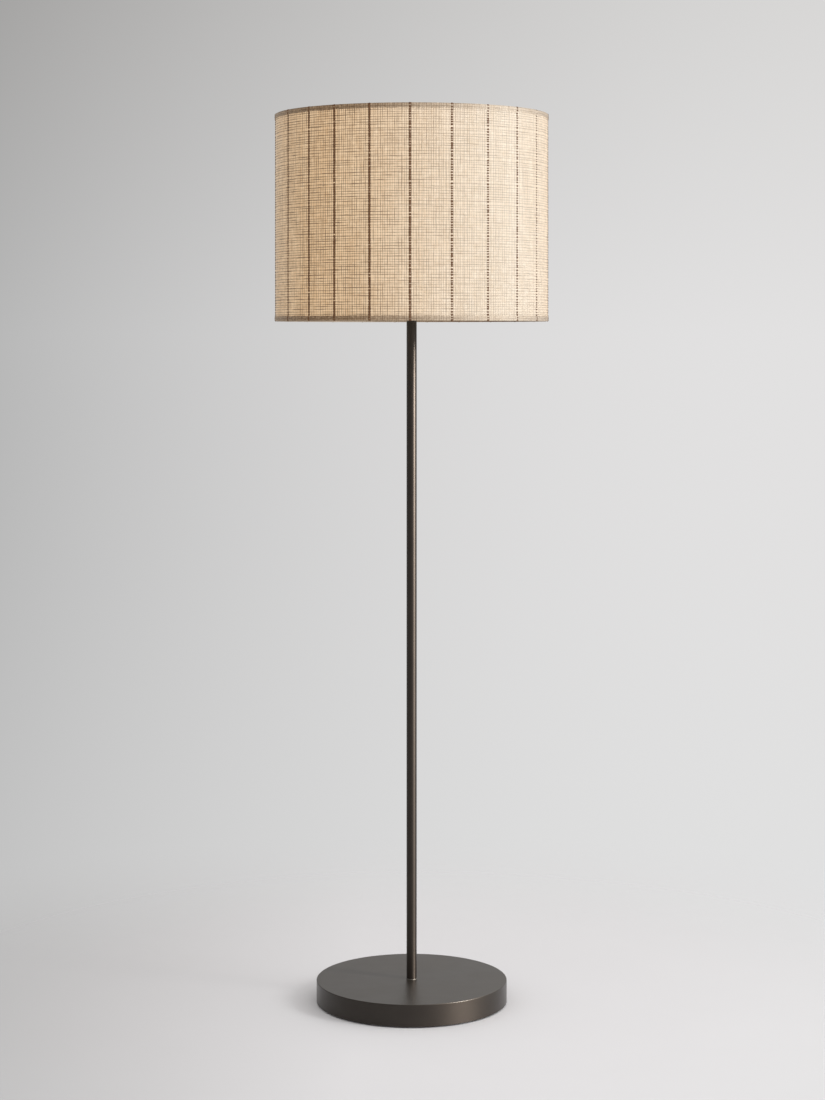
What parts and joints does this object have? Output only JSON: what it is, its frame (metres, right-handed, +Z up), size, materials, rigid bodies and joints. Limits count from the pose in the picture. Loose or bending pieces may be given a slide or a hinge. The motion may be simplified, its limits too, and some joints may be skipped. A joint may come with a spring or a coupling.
{
  "type": "column floor lamp",
  "caption": "Floor lamp with a round weighted foot, a slim straight column, and a large striped drum shade held on a wire harp over a turn-knob lamp holder.",
  "frame": {"origin": "centre of the foot's underside, on the floor and under the column's axis", "axes": "+Z up along the column, -Y towards the front with the switch knob, +Y to the back where the cord leaves, +X to the right seen from the front"},
  "size_m": [0.5095, 0.5094, 1.6547],
  "materials": {
    "bronze": "satin dark bronze powder coat",
    "zinc": "zinc plated steel",
    "steel": "bright turned steel",
    "concrete": "cast concrete",
    "foam": "closed-cell foam",
    "black_nylon": "moulded nylon",
    "brass": "satin brass plate",
    "paper": "insulating paper",
    "phenolic": "dark phenolic moulding",
    "white_plastic": "white moulding",
    "opal": "opal diffuser",
    "nickel": "drawn cap",
    "glass_insulator": "dark glass",
    "white_wire": "white epoxy",
    "linen": "coarse plain weave with dark vertical yarns",
    "hem": "turned hem of the same cloth",
    "backing": "translucent laminate backing"
  },
  "bodies": {
    "stand": {"foot_cover": "bronze", "foot_weight": "concrete", "weight_inserts": "brass", "foot_plate": "zinc", "plate_screws": "zinc", "floor_pad": "foam", "cord_bushing": "black_nylon", "clamp_washer": "zinc", "tooth_washer": "zinc", "foot_nut": "zinc", "foot_pipe": "zinc", "seat_ring": "steel", "column_foot_plug": "steel", "column": "bronze", "column_top_plug": "steel", "neck_ring": "bronze", "neck_pipe": "zinc", "saddle": "bronze", "saddle_lock_nut": "bronze", "harp": "bronze", "holder_cap": "brass", "cap_set_screw": "zinc", "holder_shell": "brass", "holder_sleeve": "paper", "holder_body": "phenolic", "switch_leaf": "brass", "terminal_screws": "brass", "screw_shell": "brass", "shell_rivets": "brass", "centre_contact": "brass"},
    "switch": {"switch_rotor": "phenolic", "switch_shaft": "brass", "switch_knob": "phenolic"},
    "bulb": {"bulb_tip": "nickel", "bulb_insulator": "glass_insulator", "bulb_screw_cap": "nickel", "bulb_collar": "white_plastic", "bulb_board": "nickel", "bulb_globe": "opal"},
    "left_ferrule": {"ferrule_left": "bronze"},
    "right_ferrule": {"ferrule_right": "bronze"},
    "shade": {"swivel_stud": "brass", "spider_hub": "white_wire", "spider_arms": "white_wire", "shade_top_ring": "white_wire", "shade_bottom_ring": "white_wire", "shade_backing": "backing", "shade_fabric": "linen", "shade_top_trim": "hem", "shade_bottom_trim": "hem"},
    "washer": {"finial_washer": "brass"},
    "finial": {"finial": "bronze"}
  },
  "joints": [
    {"name": "switch_turn", "type": "hinge", "parent": "stand", "child": "switch", "pos_m": [0, 0, 1.3626], "axis": [0, -1, 0], "continuous": true},
    {"name": "bulb_lift", "type": "slide", "parent": "stand", "child": "bulb", "axis": [0, 0, 1], "range_m": [0, 0.028]},
    {"name": "left_ferrule_slide", "type": "slide", "parent": "stand", "child": "left_ferrule", "axis": [0, 0, 1], "range_m": [0, 0.014]},
    {"name": "right_ferrule_slide", "type": "slide", "parent": "stand", "child": "right_ferrule", "axis": [0, 0, 1], "range_m": [0, 0.014]},
    {"name": "shade_swivel", "type": "hinge", "parent": "stand", "child": "shade", "pos_m": [0, 0, 1.628], "axis": [0, 0, 1], "continuous": true},
    {"name": "washer_lift", "type": "slide", "parent": "shade", "child": "washer", "axis": [0, 0, 1], "range_m": [0, 0.0085]},
    {"name": "finial_turn", "type": "hinge", "parent": "washer", "child": "finial", "pos_m": [0, 0, 1.6307], "axis": [0, 0, 1], "range_deg": [0, 3240]}
  ],
  "couplings": [
    {"joint": "washer_lift", "follows": "finial_turn", "m_per_rad": 0.00014972}
  ]
}
